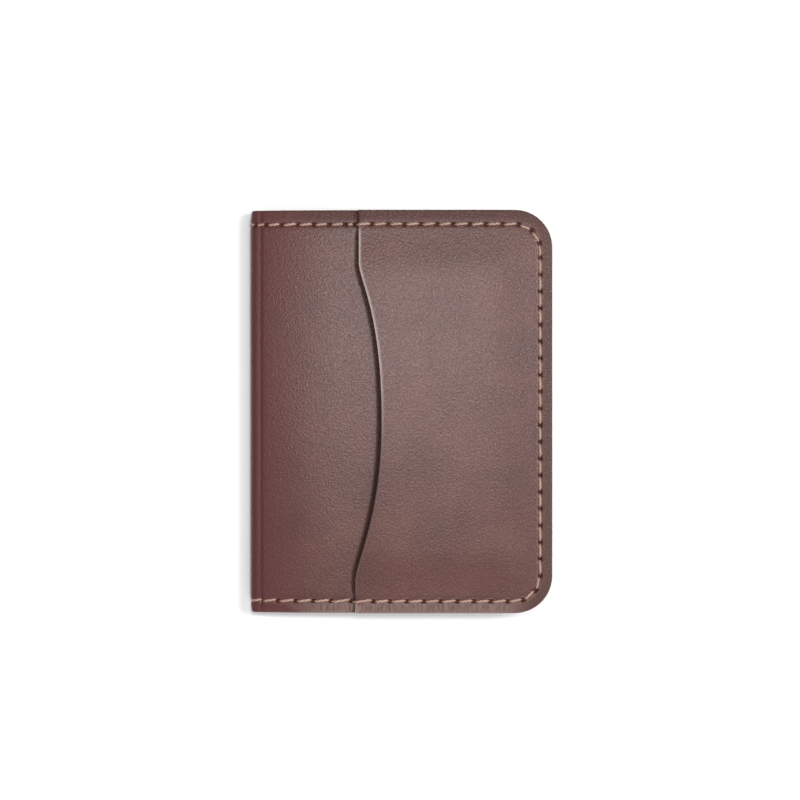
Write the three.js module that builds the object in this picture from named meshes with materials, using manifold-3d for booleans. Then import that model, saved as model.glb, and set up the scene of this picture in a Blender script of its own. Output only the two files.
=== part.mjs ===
// Bifold card wallet, in millimetres, closed and lying on its rear cover.
// X runs from the spine to the free edge, Y along the spine, and Z up.
// The origin is under the middle of the closed wallet.
//
// The outer shell and its lining are each one sheet of leather that bends round the spine.
// Here each is cut into a rear cover, a spine strip and a front cover, so that rigid pieces
// can follow the fold. Two hinge lines on the outside of the spine share the turn equally.

import * as THREE from "three";
import { mergeVertices } from "three/addons/utils/BufferGeometryUtils.js";
import Module from "manifold-3d";

// Covers
const coverWidth = 76.2; // spine to free edge, closed
const coverHeight = 101.6; // along the spine
const cornerRadius = 9.5; // the two corners of the free edge

// Leather
const shellThickness = 1.2;
const liningThickness = 0.6;
const slotThickness = 0.9; // pocket panels on the inside
const pocketThickness = 1.2; // quick pocket on the front cover

// Clearances
const layerGap = 0.05; // between layers that are sewn together
const foldGap = 0.4; // between the two halves when closed
const flexGap = 0.1; // slit at each hinge line

// Pocket mouths, measured from the spine's outermost line towards the free edge
const mouthTop = 27.4; // straight stretch at the upper end
const mouthBottom = 26.5; // straight stretch at the lower end
const scoopDepth = 6.2; // how far the thumb scoop cuts back past the straight ends
const scoopTopMargin = 13.1; // straight stretch's length at the upper end
const scoopBottomMargin = 8;
const scoopDrop = 2; // the deepest point lies this far below mid-height
const scoopLead = 0.125; // handle lengths of the scoop's curves, as shares of their run
const scoopRoundTop = 0.69;
const scoopRoundBottom = 0.61;
const quickPocketShift = 0; // where each pocket's mouth lies beside the measures above
const frontSlotShift = -1;
const rearBackSlotShift = -6;
const rearFrontSlotShift = 6;

// Seam
const seamMarginTop = 3.6; // edge to stitch line
const seamMarginBottom = 3.1;
const seamMarginSide = 3.1;
const threadWidth = 0.8;
const grooveDepth = 0.35;
const threadClearance = 0.05; // above and below a thread in its groove
const threadSideClearance = 0.1; // beside a thread, and between it and a pocket mouth

// Fold
const firstHinge = 45; // degrees round the bend from where the rear cover ends
const secondHinge = 135;

// Facets
const cornerFacets = 6; // for each eighth of a turn
const bendFacetAngle = 5.6; // degrees

// Worked out from the dimensions above
const sheetDepth = shellThickness + layerGap + liningThickness; // shell and lining together
const rearStack = sheetDepth + 2 * (layerGap + slotThickness);
const frontStack = sheetDepth + layerGap + slotThickness;
const spineRadius = (rearStack + foldGap + frontStack) / 2; // shell's outer face round the spine
const spineX = -coverWidth / 2;
const bendX = spineX + spineRadius; // where the covers end and the bend starts
const freeX = coverWidth / 2;
const topY = coverHeight / 2;
const seamTopY = topY - seamMarginTop;
const seamBottomY = -topY + seamMarginBottom;
const seamSideX = freeX - seamMarginSide;
const seamCornerRadius = Math.max(cornerRadius - seamMarginSide, threadWidth);
const grooveWidth = threadWidth + 2 * threadSideClearance;
const threadThickness = grooveDepth - 2 * threadClearance;
const slitAngle = THREE.MathUtils.radToDeg(flexGap / 2 / spineRadius);
const over = 1; // how far a cutter runs past what it cuts

const wasm = await Module();
wasm.setup();

// Materials
function leather(colour) {
  return new THREE.MeshStandardMaterial({ color: colour, roughness: 0.55, metalness: 0 });
}
const shellLeather = leather(0x6b4a44);
const liningLeather = leather(0x5c4038);
const slotLeather = leather(0x66463f);
const waxedThread = new THREE.MeshStandardMaterial({ color: 0xc79a80, roughness: 0.7, metalness: 0 });

// Solids
function toSolid(geometry) {
  geometry.deleteAttribute("normal");
  geometry.deleteAttribute("uv");
  const merged = mergeVertices(geometry, 1e-4);
  return new wasm.Manifold(
    new wasm.Mesh({
      numProp: 3,
      vertProperties: merged.attributes.position.array,
      triVerts: new Uint32Array(merged.index.array),
    }),
  );
}

function toMesh(name, solid, material) {
  const made = solid.getMesh();
  const geometry = new THREE.BufferGeometry();
  geometry.setAttribute("position", new THREE.BufferAttribute(made.vertProperties, 3));
  geometry.setIndex(new THREE.BufferAttribute(made.triVerts, 1));
  geometry.computeVertexNormals();
  const mesh = new THREE.Mesh(geometry, material);
  mesh.name = name;
  return mesh;
}

// A flat plate: a shape in the XY plane between two heights.
function plate(shape, z0, z1) {
  const geometry = new THREE.ExtrudeGeometry(shape, {
    depth: Math.abs(z1 - z0),
    bevelEnabled: false,
    curveSegments: cornerFacets,
  });
  geometry.translate(0, 0, Math.min(z0, z1));
  return toSolid(geometry);
}

// A bar: a section in the XZ plane drawn out along Y.
function bar(section, y0, y1, facets) {
  const geometry = new THREE.ExtrudeGeometry(section, {
    depth: y1 - y0,
    bevelEnabled: false,
    curveSegments: facets,
  });
  geometry.rotateX(Math.PI / 2);
  geometry.translate(0, y1, 0);
  return toSolid(geometry);
}

function block(x0, x1, y0, y1, z0, z1) {
  const geometry = new THREE.BoxGeometry(x1 - x0, y1 - y0, Math.abs(z1 - z0));
  geometry.translate((x0 + x1) / 2, (y0 + y1) / 2, (z0 + z1) / 2);
  return toSolid(geometry);
}

// Height of a point at some depth under a cover's outer face.
function heightAt(side, depth) {
  return side === "rear" ? depth : 2 * spineRadius - depth;
}

// Section of a layer between two depths, from one angle of the bend to another.
// Angle 0 is where the rear cover ends and 180 where the front cover starts.
function bendSection(from, to, depth0, depth1, rearFlat = 0, frontFlat = 0) {
  const turn = (angle) => THREE.MathUtils.degToRad(270 - angle);
  const outer = spineRadius - depth0;
  const inner = spineRadius - depth1;
  const section = new THREE.Shape();
  section.absarc(bendX, spineRadius, outer, turn(from), turn(to), true);
  if (frontFlat) {
    section.lineTo(bendX + frontFlat, 2 * spineRadius - depth0);
    section.lineTo(bendX + frontFlat, 2 * spineRadius - depth1);
  }
  section.absarc(bendX, spineRadius, inner, turn(to), turn(from), false);
  if (rearFlat) {
    section.lineTo(bendX + rearFlat, depth1);
    section.lineTo(bendX + rearFlat, depth0);
  }
  section.closePath();
  return section;
}

function bendBar(from, to, depth0, depth1, y0, y1, flats = [0, 0]) {
  const facets = Math.ceil((to - from) / bendFacetAngle / 2); // an arc gets twice as many
  return bar(bendSection(from, to, depth0, depth1, ...flats), y0, y1, facets);
}

// The free edge with its two round corners, closed on the left by the given function.
function coverOutline(closeLeft) {
  const outline = new THREE.Shape();
  outline.moveTo(freeX - cornerRadius, -topY);
  outline.absarc(freeX - cornerRadius, -topY + cornerRadius, cornerRadius, -Math.PI / 2, 0, false);
  outline.absarc(freeX - cornerRadius, topY - cornerRadius, cornerRadius, 0, Math.PI / 2, false);
  closeLeft(outline);
  outline.closePath();
  return outline;
}

// The mouth's wavy edge, from the top down: straight, scooped for a thumb, straight.
function closeWithMouth(shift) {
  const upperX = spineX + mouthTop + shift;
  const lowerX = spineX + mouthBottom + shift;
  const deepX = upperX + scoopDepth - (mouthTop - mouthBottom) / 2;
  const startY = topY - scoopTopMargin;
  const deepY = -scoopDrop;
  const endY = -topY + scoopBottomMargin;
  const upperRun = startY - deepY;
  const lowerRun = deepY - endY;
  return (outline) => {
    outline.lineTo(upperX, topY);
    outline.lineTo(upperX, startY);
    outline.bezierCurveTo(
      upperX, startY - scoopLead * upperRun, deepX, deepY + scoopRoundTop * upperRun, deepX, deepY,
    );
    outline.bezierCurveTo(
      deepX, deepY - scoopRoundBottom * lowerRun, lowerX, endY + scoopLead * lowerRun, lowerX, endY,
    );
    outline.lineTo(lowerX, -topY);
  };
}

// Band of a given width along the stitch line: in along the top, round the free edge and back.
function seamBand(width, topStartX, bottomStartX) {
  const half = width / 2;
  const outer = seamCornerRadius + half;
  const inner = seamCornerRadius - half;
  const cornerX = seamSideX - seamCornerRadius;
  const upperY = seamTopY - seamCornerRadius;
  const lowerY = seamBottomY + seamCornerRadius;
  const band = new THREE.Shape();
  band.absarc(cornerX, lowerY, outer, -Math.PI / 2, 0, false);
  band.absarc(cornerX, upperY, outer, 0, Math.PI / 2, false);
  band.lineTo(topStartX, seamTopY + half);
  band.lineTo(topStartX, seamTopY - half);
  band.absarc(cornerX, upperY, inner, Math.PI / 2, 0, true);
  band.absarc(cornerX, lowerY, inner, 0, -Math.PI / 2, true);
  band.lineTo(bottomStartX, seamBottomY + half);
  band.lineTo(bottomStartX, seamBottomY - half);
  band.closePath();
  return band;
}

// Cutter for the stitch groove in the flat part of a face at some depth.
function flatGroove(side, depth, facing) {
  const floor = facing === "out" ? depth + grooveDepth : depth - grooveDepth;
  const beyond = facing === "out" ? depth - over : depth + over;
  const start = bendX - threadSideClearance;
  return plate(seamBand(grooveWidth, start, start), heightAt(side, floor), heightAt(side, beyond));
}

// The same groove where the seam crosses the bend, at the top and at the bottom.
function bendGroove(depth, facing) {
  const depths = facing === "out" ? [depth - over, depth + grooveDepth] : [depth - grooveDepth, depth + over];
  const cut = (y) => bendBar(0, 180, ...depths, y - grooveWidth / 2, y + grooveWidth / 2);
  return cut(seamTopY).add(cut(seamBottomY));
}

// A sheet that covers one side and runs into the bend, up to its first slit. It is grooved for
// the stitches on its outer face (facing "out") or its inner face (facing "in").
function coverSheet(side, depth, thickness, facing) {
  const [from, to] = side === "rear" ? [0, firstHinge - slitAngle] : [secondHinge + slitAngle, 180];
  const flat = coverWidth; // long enough to pass the free edge, which the outline trims
  const flats = side === "rear" ? [flat, 0] : [0, flat];
  const sheet = bendBar(from, to, depth, depth + thickness, -topY - over, topY + over, flats);
  const outline = coverOutline((shape) => {
    shape.lineTo(spineX - over, topY);
    shape.lineTo(spineX - over, -topY);
  });
  const face = facing === "out" ? depth : depth + thickness;
  return sheet
    .intersect(plate(outline, -over, 2 * spineRadius + over))
    .subtract(flatGroove(side, face, facing))
    .subtract(bendGroove(face, facing));
}

// The strip of the bend between the two slits.
function spineSheet(depth, thickness, facing) {
  const [from, to] = [firstHinge + slitAngle, secondHinge - slitAngle];
  const face = facing === "out" ? depth : depth + thickness;
  return bendBar(from, to, depth, depth + thickness, -topY, topY).subtract(bendGroove(face, facing));
}

// A pocket panel with a wavy mouth, grooved for the stitches on one face.
function pocketPanel(side, depth, thickness, shift, facing) {
  const panel = plate(
    coverOutline(closeWithMouth(shift)),
    heightAt(side, depth),
    heightAt(side, depth + thickness),
  );
  return panel.subtract(flatGroove(side, facing === "out" ? depth : depth + thickness, facing));
}

// Depths of the thread in a face's groove.
function threadDepths(depth, facing) {
  const outer = facing === "out" ? depth + threadClearance : depth - threadClearance - threadThickness;
  return [outer, outer + threadThickness];
}

// The thread on one face of a cover. It starts in the bend, and steps up at each pocket mouth
// that it crosses: steps lists those pockets' shifts and the depths of their faces.
function coverThread(side, depth, facing, steps = []) {
  const [from, to] = side === "rear" ? [0, firstHinge - slitAngle] : [secondHinge + slitAngle, 180];
  const lap = threadWidth; // how far the bent stretch runs into the flat one
  const flats = side === "rear" ? [lap, 0] : [0, lap];
  const rows = [
    [seamTopY, mouthTop],
    [seamBottomY, mouthBottom],
  ];
  const level = (d) => threadDepths(d, facing).map((t) => heightAt(side, t));
  let starts = [bendX + lap / 2, bendX + lap / 2];
  let current = depth;
  const pieces = rows.map(([y]) =>
    bendBar(from, to, ...threadDepths(depth, facing), y - threadWidth / 2, y + threadWidth / 2, flats),
  );
  for (const step of steps) {
    const ends = rows.map(([, mouth]) => spineX + mouth + step.shift - threadSideClearance);
    rows.forEach(([y], i) => {
      const sides = [y - threadWidth / 2, y + threadWidth / 2];
      const heights = [...level(current), ...level(step.depth)];
      pieces.push(block(starts[i], ends[i], ...sides, ...level(current)));
      pieces.push(
        block(ends[i] - threadWidth, ends[i], ...sides, Math.min(...heights), Math.max(...heights)),
      );
    });
    starts = ends.map((x) => x - threadWidth / 2);
    current = step.depth;
  }
  pieces.push(plate(seamBand(threadWidth, ...starts), ...level(current)));
  return pieces.reduce((whole, piece) => whole.add(piece));
}

function spineThread(depth, facing, y) {
  const [from, to] = [firstHinge + slitAngle, secondHinge - slitAngle];
  return bendBar(from, to, ...threadDepths(depth, facing), y - threadWidth / 2, y + threadWidth / 2);
}

// Assemblies
const liningDepth = shellThickness + layerGap;
const firstSlotDepth = sheetDepth + layerGap;
const secondSlotDepth = firstSlotDepth + slotThickness + layerGap;
const quickPocketDepth = -layerGap - pocketThickness;

function rearCover() {
  const group = new THREE.Group();
  const slotFaces = [
    { shift: rearBackSlotShift, depth: firstSlotDepth + slotThickness },
    { shift: rearFrontSlotShift, depth: secondSlotDepth + slotThickness },
  ];
  const shell = coverSheet("rear", 0, shellThickness, "out");
  const lining = coverSheet("rear", liningDepth, liningThickness, "in");
  const backSlot = pocketPanel("rear", firstSlotDepth, slotThickness, rearBackSlotShift, "in");
  const frontSlot = pocketPanel("rear", secondSlotDepth, slotThickness, rearFrontSlotShift, "in");
  group.add(toMesh("shell_rear_cover", shell, shellLeather));
  group.add(toMesh("lining_rear", lining, liningLeather));
  group.add(toMesh("rear_slot_back_panel", backSlot, slotLeather));
  group.add(toMesh("rear_slot_front_panel", frontSlot, slotLeather));
  group.add(toMesh("seam_thread_rear_outside", coverThread("rear", 0, "out"), waxedThread));
  group.add(
    toMesh("seam_thread_rear_inside", coverThread("rear", sheetDepth, "in", slotFaces), waxedThread),
  );
  return group;
}

function frontCover() {
  const group = new THREE.Group();
  const quickFace = [{ shift: quickPocketShift, depth: quickPocketDepth }];
  const slotFace = [{ shift: frontSlotShift, depth: firstSlotDepth + slotThickness }];
  const shell = coverSheet("front", 0, shellThickness, "out");
  const lining = coverSheet("front", liningDepth, liningThickness, "in");
  const slot = pocketPanel("front", firstSlotDepth, slotThickness, frontSlotShift, "in");
  const pocket = pocketPanel("front", quickPocketDepth, pocketThickness, quickPocketShift, "out");
  group.add(toMesh("shell_front_cover", shell, shellLeather));
  group.add(toMesh("lining_front", lining, liningLeather));
  group.add(toMesh("front_slot_panel", slot, slotLeather));
  group.add(toMesh("quick_pocket_panel", pocket, shellLeather));
  group.add(
    toMesh("seam_thread_front_outside", coverThread("front", 0, "out", quickFace), waxedThread),
  );
  group.add(
    toMesh("seam_thread_front_inside", coverThread("front", sheetDepth, "in", slotFace), waxedThread),
  );
  return group;
}

function spineStrip() {
  const group = new THREE.Group();
  const shell = spineSheet(0, shellThickness, "out");
  const lining = spineSheet(liningDepth, liningThickness, "in");
  group.add(toMesh("shell_spine", shell, shellLeather));
  group.add(toMesh("lining_spine", lining, liningLeather));
  for (const [end, y] of [["top", seamTopY], ["bottom", seamBottomY]]) {
    const outside = spineThread(0, "out", y);
    const inside = spineThread(sheetDepth, "in", y);
    group.add(toMesh(`seam_thread_spine_${end}_outside`, outside, waxedThread));
    group.add(toMesh(`seam_thread_spine_${end}_inside`, inside, waxedThread));
  }
  return group;
}

const wallet = new THREE.Group();
wallet.add(rearCover(), spineStrip(), frontCover());

export default wallet;
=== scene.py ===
import math
from functools import partial

import bpy
import numpy as np
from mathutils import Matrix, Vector, noise
from mathutils.geometry import delaunay_2d_cdt


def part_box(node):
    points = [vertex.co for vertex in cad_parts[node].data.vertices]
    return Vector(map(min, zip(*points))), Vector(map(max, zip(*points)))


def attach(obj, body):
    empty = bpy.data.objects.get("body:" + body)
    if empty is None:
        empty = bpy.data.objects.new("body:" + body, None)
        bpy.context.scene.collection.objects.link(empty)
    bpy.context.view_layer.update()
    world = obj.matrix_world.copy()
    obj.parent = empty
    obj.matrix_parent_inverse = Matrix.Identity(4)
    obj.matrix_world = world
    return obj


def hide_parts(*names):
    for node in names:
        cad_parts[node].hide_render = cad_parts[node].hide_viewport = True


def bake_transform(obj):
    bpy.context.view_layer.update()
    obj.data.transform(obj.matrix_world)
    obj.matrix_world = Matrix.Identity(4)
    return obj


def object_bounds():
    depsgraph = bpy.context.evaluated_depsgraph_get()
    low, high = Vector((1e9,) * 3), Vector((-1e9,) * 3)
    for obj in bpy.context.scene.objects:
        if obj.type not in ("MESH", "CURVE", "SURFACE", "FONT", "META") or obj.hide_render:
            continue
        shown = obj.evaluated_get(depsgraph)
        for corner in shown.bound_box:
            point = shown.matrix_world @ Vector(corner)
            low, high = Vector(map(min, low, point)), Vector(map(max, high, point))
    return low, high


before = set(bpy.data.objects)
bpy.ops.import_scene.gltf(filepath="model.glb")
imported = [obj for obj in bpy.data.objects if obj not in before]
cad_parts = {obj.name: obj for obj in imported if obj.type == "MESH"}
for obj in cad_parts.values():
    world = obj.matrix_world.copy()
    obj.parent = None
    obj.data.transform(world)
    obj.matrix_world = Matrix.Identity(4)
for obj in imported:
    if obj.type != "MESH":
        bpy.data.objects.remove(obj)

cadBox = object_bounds()
mm = 0.001
hideUnit = 100                  # millimetres of leather to one unit of the hide's own map

# Places on the wallet are given in millimetres as (u, v, depth). u runs round the outside of the
# leather from the middle of the spine, positive on the front cover and negative on the rear one,
# v runs up the spine, and depth goes in from the shell's outer face.


def boxOf(node):
    low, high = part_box(node)
    return np.array(low) / mm, np.array(high) / mm


spineX, freeX = cadBox[0].x / mm, cadBox[1].x / mm
topY = cadBox[1].y / mm
spineRadius = boxOf("shell_front_cover")[1][2] / 2
bendX = spineX + spineRadius
halfBend = spineRadius * math.pi / 2          # from the middle of the spine to a flat cover
freeU = halfBend + freeX - bendX

# Layers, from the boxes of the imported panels
layerGap = boxOf("quick_pocket_panel")[0][2] - 2 * spineRadius
liningDepth = 2 * spineRadius - boxOf("lining_front")[1][2]
shellThickness = liningDepth - layerGap
slotDepth = 2 * spineRadius - boxOf("front_slot_panel")[1][2]
liningThickness = slotDepth - layerGap - liningDepth
slotThickness = np.ptp([b[2] for b in boxOf("front_slot_panel")])
pocketThickness = np.ptp([b[2] for b in boxOf("quick_pocket_panel")])
secondSlotDepth = boxOf("rear_slot_front_panel")[0][2]

# Seam line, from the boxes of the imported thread
threadWidth = np.ptp([b[1] for b in boxOf("seam_thread_spine_top_outside")])
seamTop = boxOf("seam_thread_spine_top_outside")[1][1] - threadWidth / 2
seamBottom = boxOf("seam_thread_spine_bottom_outside")[0][1] + threadWidth / 2
seamSide = halfBend + boxOf("seam_thread_front_outside")[1][0] - threadWidth / 2 - bendX

outline = {
    "cornerRadius": 9.5,
    "edgeStep": 1.0,            # between points along a straight edge
    "bendStep": 0.16,           # between points round the spine
    "cutStep": 0.9,             # up the middle of the spine
    "cornerPoints": 20,
}
mouth = {                       # the pockets' wavy opening, from the lower straight end
    "upperShift": 0.9,          # the upper straight end lies this much further from the spine
    "scoopDepth": 6.65,
    "upperStraight": 13.1,
    "lowerStraight": 8.0,
    "scoopDrop": 2.0,           # the deepest point lies below mid-height
    "lead": 0.125,
    "upperRound": 0.69,
    "lowerRound": 0.61,
    "points": 44,
}
seam = {
    "pitch": 4.2,
    "spineHole": 1.9,           # the nearest top hole to the middle of the spine
    "beforeLip": (3.4, 0.8),    # top holes just outside the quick pocket's lip
    "aboveLip": (6.2, 1.0),     # and the bottom ones
    "grooveDepth": 0.2,
    "grooveWidth": 0.62,
    "holeDepth": 0.75,
    "holeLength": 0.52,         # half of an awl hole, along the seam
    "holeWidth": 0.35,
    "pastCorners": (0.9, 2.1, 0.0, 1.8),        # to the holes by the four ends of the two corners
    "insideLip": 4.6,           # from the lip to the last bottom hole in the quick pocket
    "marginFade": (0.3, 3.4),   # out from the seam, where the leather thins
}
seamCorner = outline["cornerRadius"] - (freeU - seamSide)


def onSheet(u, v, depth):
    turn = np.clip(u / spineRadius, -math.pi / 2, math.pi / 2)
    run = np.maximum(np.abs(u) - halfBend, 0)
    radius = spineRadius - depth
    x = bendX - radius * np.cos(turn) + run
    z = spineRadius + radius * np.sin(turn)
    return np.stack([x, v + 0 * u, z], -1) * mm


def roundedDistance(u, v, side, top, bottom, radius):
    # how far outside a rounded cover outline a place is; negative inside
    du = np.abs(u) - side + radius
    dv = np.abs(v - (top + bottom) / 2) - (top - bottom) / 2 + radius
    away = np.hypot(np.maximum(du, 0), np.maximum(dv, 0))
    return away + np.minimum(np.maximum(du, dv), 0) - radius


def seamDistance(u, v):
    return roundedDistance(u, v, seamSide, seamTop, seamBottom, seamCorner)


def smooth(x, a, b):
    t = np.clip((x - a) / (b - a), 0, 1)
    return t * t * (3 - 2 * t)


def wander(u, v, scale, seed):
    # slow smooth waves of about one, for leather that isn't quite flat
    places = zip(np.ravel(u), np.ravel(v))
    return np.array([noise.noise(Vector((a / scale, b / scale, seed))) for a, b in places])


def bezier(points, count):
    t = np.linspace(0, 1, count)[:, None]
    a, b, c, d = (np.array(p, float) for p in points)
    return a * (1 - t) ** 3 + 3 * b * t * (1 - t) ** 2 + 3 * c * t * t * (1 - t) + d * t ** 3


def mouthLine(lowerX):
    # (u, v) down the mouth from the top edge to the bottom edge
    m = mouth
    lower = halfBend + lowerX - bendX
    upper = lower + m["upperShift"]
    deep = lower + m["scoopDepth"]
    start, low, end = topY - m["upperStraight"], -m["scoopDrop"], -topY + m["lowerStraight"]
    upperRun, lowerRun = start - low, low - end
    first = bezier([(upper, start), (upper, start - m["lead"] * upperRun),
                    (deep, low + m["upperRound"] * upperRun), (deep, low)], m["points"])
    second = bezier([(deep, low), (deep, low - m["lowerRound"] * lowerRun),
                     (lower, end + m["lead"] * lowerRun), (lower, end)], m["points"])
    above = straight((upper, topY), (upper, start), outline["edgeStep"])
    below = straight((lower, end), (lower, -topY), outline["edgeStep"])
    return np.vstack([above[:-1], first[:-1], second[:-1], below])


def straight(a, b, step):
    count = max(2, int(round(math.dist(a, b) / step)) + 1)
    return np.linspace(a, b, count)


def coverEdge(startU):
    # along the bottom from startU, round the free edge and back along the top
    r = outline["cornerRadius"]
    step = outline["edgeStep"]
    parts = []
    if startU < halfBend:
        parts.append(straight((startU, -topY), (halfBend, -topY), outline["bendStep"])[:-1])
        startU = halfBend
    parts.append(straight((startU, -topY), (freeU - r, -topY), step)[:-1])
    turn = np.linspace(0, math.pi / 2, outline["cornerPoints"])
    parts.append(np.stack([freeU - r + r * np.sin(turn), -topY + r - r * np.cos(turn)], -1)[:-1])
    parts.append(straight((freeU, -topY + r), (freeU, topY - r), step)[:-1])
    mirrored = np.vstack(parts)[::-1]
    parts.append(np.stack([mirrored[:, 0], -mirrored[:, 1]], -1)[len(parts[-1]):])
    return np.vstack(parts)


seamLead = seamSide - seamCorner
cornerRun = seamCorner * math.pi / 2
sideRun = seamTop - seamBottom - 2 * seamCorner
seamLength = 2 * (seamLead + cornerRun) + sideRun


def seamAt(s):
    # (u, v, heading) at a length along the seam, clockwise from the middle of the spine
    if s > seamLength / 2:
        u, v, heading = seamAt(seamLength - s)
        return u, seamTop + seamBottom - v, math.pi - heading
    if s <= seamLead:
        return s, seamTop, 0.0
    if s <= seamLead + cornerRun:
        t = (s - seamLead) / seamCorner
        return seamLead + seamCorner * math.sin(t), seamTop - seamCorner * (1 - math.cos(t)), -t
    return seamSide, seamTop - seamCorner - (s - seamLead - cornerRun), -math.pi / 2


def awlHoles(marks):
    # holes a pitch apart, with one at every mark
    along = [marks[0]]
    for a, b in zip(marks, marks[1:]):
        count = max(1, round((b - a) / seam["pitch"]))
        along += list(np.linspace(a, b, count + 1)[1:])
    return np.array([seamAt(s) for s in along])


def batches(points):
    # a few thousand at a time, to keep the tables of distances small
    return np.array_split(points, max(1, len(points) // 2000))


def holeMark(u, v, holes):
    # one at the middle of an awl hole, fading out round it
    marks = []
    for part in batches(np.stack([u, v], -1)):
        d = part[:, None] - holes[None, :, :2]
        c, t = np.cos(holes[:, 2]), np.sin(holes[:, 2])
        ahead = (d[..., 0] * c + d[..., 1] * t) / seam["holeLength"]
        across = (d[..., 1] * c - d[..., 0] * t) / seam["holeWidth"]
        marks.append(np.exp(-np.min(ahead ** 4 + across ** 2, 1)))
    return np.concatenate(marks)


def pastLip(u, v, line):
    # distance inside a pocket, in from its lip
    return u - np.interp(-v, -line[:, 1], line[:, 0])


quickLower = boxOf("quick_pocket_panel")[0][0]
quickMouth = mouthLine(quickLower)
topLip, bottomLip = quickMouth[0, 0], quickMouth[-1, 0]
cornerEnds = (seamLead, seamLead + cornerRun, seamLead + cornerRun + sideRun, seamLength - seamLead)
corners = [end + past for end, past in zip(cornerEnds, seam["pastCorners"])]
frontHoles = awlHoles(
    [seam["spineHole"]] + [topLip - gap for gap in seam["beforeLip"]] + corners
    + [seamLength - bottomLip - seam["insideLip"]]
    + [seamLength - bottomLip + gap for gap in seam["aboveLip"][::-1]] + [seamLength])
rearHoles = awlHoles([seam["spineHole"]] + corners + [seamLength])


# Leather panels

panelShape = {
    "fieldStep": 1.9,           # between points in the open field of a panel
    "bandStep": 0.9,            # beside the seam
    "seamStep": 0.34,           # on the seam
    "lipStep": 0.42,            # beside a pocket's lip
    "spineRowStep": 1.3,        # between rows of points up the spine
    "spineClear": 0.9,          # half widths of the bands where the steps change
    "seamBand": 1.15,
    "sideBand": 3.0,
    "lipBand": 1.9,
    "lipClear": 2.1,
    "holeClear": 0.95,          # round an awl hole the points lie in rings
    "holeRings": (0.2, 0.38, 0.55, 0.72, 0.9),
    "ringPoints": 12,
    "ringTurn": 0.26,
    "spineStretch": 4,          # evens out the narrow steps round the spine for the net
    "rounding": 0.42,           # of the edge on the grain side
    "roundingAngles": (65, 40, 15),
    "rearRounding": 0.2,        # and on the flesh side
    "grainRings": 2,            # of the rounding, above where the edge dye starts
    "grainClear": 0.1,          # between a panel's outline and its inner points
    "fleshClear": 0.3,
    "rimReach": 1.1,            # of the darkening near an edge
    "pressReach": 0.75,         # of the painted shade beside the thread, where the groove also presses the leather darker
}


def insetLoop(loop, weights, distance):
    # moves each point in by the distance, except across edges whose weight is nought
    ahead = np.roll(loop, -1, 0) - loop
    ahead /= np.linalg.norm(ahead, axis=1)[:, None]
    inward = np.stack([-ahead[:, 1], ahead[:, 0]], -1)
    before, wBefore = np.roll(inward, 1, 0), np.roll(weights, 1)
    det = before[:, 0] * inward[:, 1] - before[:, 1] * inward[:, 0]
    flat = np.abs(det) < 0.02                 # almost straight on, where there is no corner to solve
    det[flat] = 1
    x = (wBefore * inward[:, 1] - weights * before[:, 1]) / det
    y = (weights * before[:, 0] - wBefore * inward[:, 0]) / det
    move = np.stack([x, y], -1)
    mean = (inward + before) / 2 * ((weights + wBefore) / 2)[:, None]
    move[flat] = mean[flat]
    return loop + move * distance


def insideLoop(points, loop, margin):
    # which points are inside a closed loop by at least the margin
    a, b = loop, np.roll(loop, -1, 0)
    inside = np.zeros(len(points), bool)
    nearest = np.full(len(points), 1e9)
    for p, q in zip(a, b):
        crosses = (p[1] > points[:, 1]) != (q[1] > points[:, 1])
        if crosses.any():
            x = p[0] + (points[:, 1] - p[1]) * (q[0] - p[0]) / (q[1] - p[1] + 1e-12)
            inside ^= crosses & (points[:, 0] < x)
        d = q - p
        t = np.clip(((points - p) @ d) / (d @ d), 0, 1)
        nearest = np.minimum(nearest, np.linalg.norm(points - p - t[:, None] * d, axis=1))
    return inside & (nearest > margin)


def grid(step, low, high, stepU=None):
    us = np.arange(low[0], high[0], stepU or step)
    vs = np.arange(low[1], high[1], step)
    u, v = np.meshgrid(us, vs)
    u = u + (np.arange(len(vs)) % 2)[:, None] * (stepU or step) / 2
    return np.stack([u.ravel(), v.ravel()], -1)


def fieldPoints(loop, holes, line, fine):
    s = panelShape
    low, high = loop.min(0), loop.max(0)
    sets = []
    if low[0] < halfBend - 0.1:               # round the spine, close together along u only
        bend = grid(s["spineRowStep"], (low[0], low[1]), (halfBend, high[1]), outline["bendStep"])
        sets.append(bend[np.abs(seamDistance(*bend.T)) > s["spineClear"]] if fine else bend)
        low = np.array([halfBend, low[1]])
    field = grid(s["fieldStep"], low, high)
    if not fine:
        return np.vstack(sets + [field])
    away = np.abs(seamDistance(*field.T))
    sets.append(field[away > s["sideBand"]])
    band = grid(s["bandStep"], low, high)
    away = np.abs(seamDistance(*band.T))
    sets.append(band[(away > s["seamBand"]) & (away <= s["sideBand"])])
    full = grid(s["seamStep"], loop.min(0), high)
    away = np.abs(seamDistance(*full.T))
    full = full[away <= s["seamBand"]]
    gap = np.min(np.linalg.norm(full[:, None] - holes[None, :, :2], axis=2), 1)
    sets.append(full[gap > s["holeClear"]])
    turns = np.linspace(0, 2 * math.pi, s["ringPoints"], endpoint=False)
    rings = [holes[:, :2]]
    for i, radius in enumerate(s["holeRings"]):
        turned = turns + i * s["ringTurn"]
        ring = np.stack([np.cos(turned), np.sin(turned)], -1) * radius
        rings.append((holes[:, None, :2] + ring[None]).reshape(-1, 2))
    sets.append(np.vstack(rings))
    if line is not None:                      # closer together beside the lip, away from the seam
        lip = grid(s["lipStep"], (line[:, 0].min() - 2, low[1]), (line[:, 0].max() + 2, high[1]))
        near = np.abs(pastLip(*lip.T, line)) < s["lipBand"]
        near &= np.abs(seamDistance(*lip.T)) > s["seamBand"]
        sets = [part[np.abs(pastLip(*part.T, line)) > s["lipClear"]] if i < 3 else part
                for i, part in enumerate(sets)] + [lip[near]]
    return np.vstack(sets)


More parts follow.
